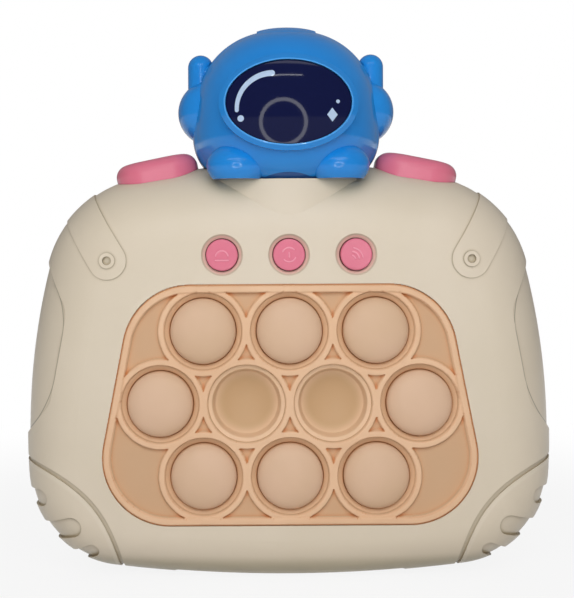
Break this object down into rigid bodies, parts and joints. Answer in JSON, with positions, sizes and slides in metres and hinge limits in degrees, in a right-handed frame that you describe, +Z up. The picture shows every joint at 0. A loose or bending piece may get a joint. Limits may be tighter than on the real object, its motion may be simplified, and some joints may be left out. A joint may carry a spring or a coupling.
{
  "type": "electronic bubble pop game",
  "caption": "Hand-held bubble pop game console: press-through silicone bubbles over lights and switches, front and shoulder buttons, helmet-shaped head, battery bay behind.",
  "frame": {"origin": "centre of the small flat face that the console stands on, in the plane where its two shells meet", "axes": "+Z up, +X to the right seen from the front, and the bubbles face -Y"},
  "size_m": [0.1538, 0.0567, 0.1601],
  "materials": {
    "shell_cream": "moulded ABS with a soft satin gloss",
    "pad_peach": "matt silicone rubber",
    "bubble_peach": "matt silicone rubber",
    "button_pink": "moulded plastic, satin gloss",
    "helmet_blue": "glossy moulded plastic",
    "visor_navy": "high gloss tinted plastic",
    "frame_white": "natural moulded plastic",
    "light_cap": "translucent moulded plastic",
    "board_green": "solder-masked laminate",
    "part_black": "black moulded package",
    "led_white": "light package",
    "speaker_metal": "stamped steel basket with paper cone",
    "contact_steel": "nickel-plated spring steel",
    "screw_steel": "zinc-plated steel",
    "cell_case": "printed metal can, plain"
  },
  "bodies": {
    "housing": {"front_shell": "shell_cream", "rear_shell": "shell_cream", "case_screws": "screw_steel", "board_screws": "screw_steel", "helmet_screws": "screw_steel", "bubble_pad": "pad_peach", "key_frame": "frame_white", "main_board": "board_green", "bubble_switches": "contact_steel", "bubble_lights": "led_white", "front_switches": "part_black", "shoulder_switches": "part_black", "controller_chip": "part_black", "capacitor": "part_black", "speaker": "speaker_metal", "battery_springs": "contact_steel", "battery_plates": "contact_steel", "helmet_front": "helmet_blue", "helmet_rear": "helmet_blue", "visor": "visor_navy", "ear_cup_left": "helmet_blue", "ear_cup_right": "helmet_blue", "hand_left": "helmet_blue", "hand_right": "helmet_blue", "battery_1": "cell_case", "battery_2": "cell_case", "battery_3": "cell_case"},
    "bubble_01": {"bubble_01": "bubble_peach"},
    "bubble_02": {"bubble_02": "bubble_peach"},
    "bubble_03": {"bubble_03": "bubble_peach"},
    "bubble_04": {"bubble_04": "bubble_peach"},
    "bubble_05": {"bubble_05": "bubble_peach"},
    "bubble_06": {"bubble_06": "bubble_peach"},
    "bubble_07": {"bubble_07": "bubble_peach"},
    "bubble_08": {"bubble_08": "bubble_peach"},
    "bubble_09": {"bubble_09": "bubble_peach"},
    "bubble_10": {"bubble_10": "bubble_peach"},
    "plunger_01": {"plunger_01": "light_cap"},
    "plunger_02": {"plunger_02": "light_cap"},
    "plunger_03": {"plunger_03": "light_cap"},
    "plunger_04": {"plunger_04": "light_cap"},
    "plunger_05": {"plunger_05": "light_cap"},
    "plunger_06": {"plunger_06": "light_cap"},
    "plunger_07": {"plunger_07": "light_cap"},
    "plunger_08": {"plunger_08": "light_cap"},
    "plunger_09": {"plunger_09": "light_cap"},
    "plunger_10": {"plunger_10": "light_cap"},
    "power_button": {"power_button": "button_pink"},
    "mode_button": {"mode_button": "button_pink"},
    "sound_button": {"sound_button": "button_pink"},
    "shoulder_button_left": {"shoulder_button_left": "button_pink"},
    "shoulder_button_right": {"shoulder_button_right": "button_pink"},
    "battery_door": {"battery_door": "shell_cream", "battery_door_screw": "screw_steel"}
  },
  "joints": [
    {"name": "bubble_01_press", "type": "slide", "parent": "housing", "child": "bubble_01", "axis": [0, 1, 0], "range_m": [0, 0.0092]},
    {"name": "bubble_02_press", "type": "slide", "parent": "housing", "child": "bubble_02", "axis": [0, 1, 0], "range_m": [0, 0.0092]},
    {"name": "bubble_03_press", "type": "slide", "parent": "housing", "child": "bubble_03", "axis": [0, 1, 0], "range_m": [0, 0.0092]},
    {"name": "bubble_04_press", "type": "slide", "parent": "housing", "child": "bubble_04", "axis": [0, 1, 0], "range_m": [0, 0.0092]},
    {"name": "bubble_05_press", "type": "slide", "parent": "housing", "child": "bubble_05", "axis": [0, 1, 0], "range_m": [-0.0092, 0]},
    {"name": "bubble_06_press", "type": "slide", "parent": "housing", "child": "bubble_06", "axis": [0, 1, 0], "range_m": [-0.0092, 0]},
    {"name": "bubble_07_press", "type": "slide", "parent": "housing", "child": "bubble_07", "axis": [0, 1, 0], "range_m": [0, 0.0092]},
    {"name": "bubble_08_press", "type": "slide", "parent": "housing", "child": "bubble_08", "axis": [0, 1, 0], "range_m": [0, 0.0092]},
    {"name": "bubble_09_press", "type": "slide", "parent": "housing", "child": "bubble_09", "axis": [0, 1, 0], "range_m": [0, 0.0092]},
    {"name": "bubble_10_press", "type": "slide", "parent": "housing", "child": "bubble_10", "axis": [0, 1, 0], "range_m": [0, 0.0092]},
    {"name": "plunger_01_slide", "type": "slide", "parent": "housing", "child": "plunger_01", "axis": [0, 1, 0], "range_m": [0, 0.0014]},
    {"name": "plunger_02_slide", "type": "slide", "parent": "housing", "child": "plunger_02", "axis": [0, 1, 0], "range_m": [0, 0.0014]},
    {"name": "plunger_03_slide", "type": "slide", "parent": "housing", "child": "plunger_03", "axis": [0, 1, 0], "range_m": [0, 0.0014]},
    {"name": "plunger_04_slide", "type": "slide", "parent": "housing", "child": "plunger_04", "axis": [0, 1, 0], "range_m": [0, 0.0014]},
    {"name": "plunger_05_slide", "type": "slide", "parent": "housing", "child": "plunger_05", "axis": [0, 1, 0], "range_m": [-0.0014, 0]},
    {"name": "plunger_06_slide", "type": "slide", "parent": "housing", "child": "plunger_06", "axis": [0, 1, 0], "range_m": [-0.0014, 0]},
    {"name": "plunger_07_slide", "type": "slide", "parent": "housing", "child": "plunger_07", "axis": [0, 1, 0], "range_m": [0, 0.0014]},
    {"name": "plunger_08_slide", "type": "slide", "parent": "housing", "child": "plunger_08", "axis": [0, 1, 0], "range_m": [0, 0.0014]},
    {"name": "plunger_09_slide", "type": "slide", "parent": "housing", "child": "plunger_09", "axis": [0, 1, 0], "range_m": [0, 0.0014]},
    {"name": "plunger_10_slide", "type": "slide", "parent": "housing", "child": "plunger_10", "axis": [0, 1, 0], "range_m": [0, 0.0014]},
    {"name": "power_button_press", "type": "slide", "parent": "housing", "child": "power_button", "axis": [0, 1, 0], "range_m": [0, 0.0012], "stiffness_N_per_m": 300, "springref_m": -0.0003},
    {"name": "mode_button_press", "type": "slide", "parent": "housing", "child": "mode_button", "axis": [0, 1, 0], "range_m": [0, 0.0012], "stiffness_N_per_m": 300, "springref_m": -0.0003},
    {"name": "sound_button_press", "type": "slide", "parent": "housing", "child": "sound_button", "axis": [0, 1, 0], "range_m": [0, 0.0012], "stiffness_N_per_m": 300, "springref_m": -0.0003},
    {"name": "shoulder_button_left_press", "type": "slide", "parent": "housing", "child": "shoulder_button_left", "axis": [0.1994, 0, -0.9799], "range_m": [0, 0.0022], "stiffness_N_per_m": 400, "springref_m": -0.00075},
    {"name": "shoulder_button_right_press", "type": "slide", "parent": "housing", "child": "shoulder_button_right", "axis": [-0.1994, 0, -0.9799], "range_m": [0, 0.0022], "stiffness_N_per_m": 400, "springref_m": -0.00075},
    {"name": "battery_door_off", "type": "slide", "parent": "housing", "child": "battery_door", "axis": [0, 1, 0], "range_m": [0, 0.025]}
  ],
  "couplings": [
    {"joint": "plunger_01_slide", "follows": "bubble_01_press", "ratio": 0.152},
    {"joint": "plunger_02_slide", "follows": "bubble_02_press", "ratio": 0.152},
    {"joint": "plunger_03_slide", "follows": "bubble_03_press", "ratio": 0.152},
    {"joint": "plunger_04_slide", "follows": "bubble_04_press", "ratio": 0.152},
    {"joint": "plunger_05_slide", "follows": "bubble_05_press", "ratio": 0.152},
    {"joint": "plunger_06_slide", "follows": "bubble_06_press", "ratio": 0.152},
    {"joint": "plunger_07_slide", "follows": "bubble_07_press", "ratio": 0.152},
    {"joint": "plunger_08_slide", "follows": "bubble_08_press", "ratio": 0.152},
    {"joint": "plunger_09_slide", "follows": "bubble_09_press", "ratio": 0.152},
    {"joint": "plunger_10_slide", "follows": "bubble_10_press", "ratio": 0.152}
  ]
}
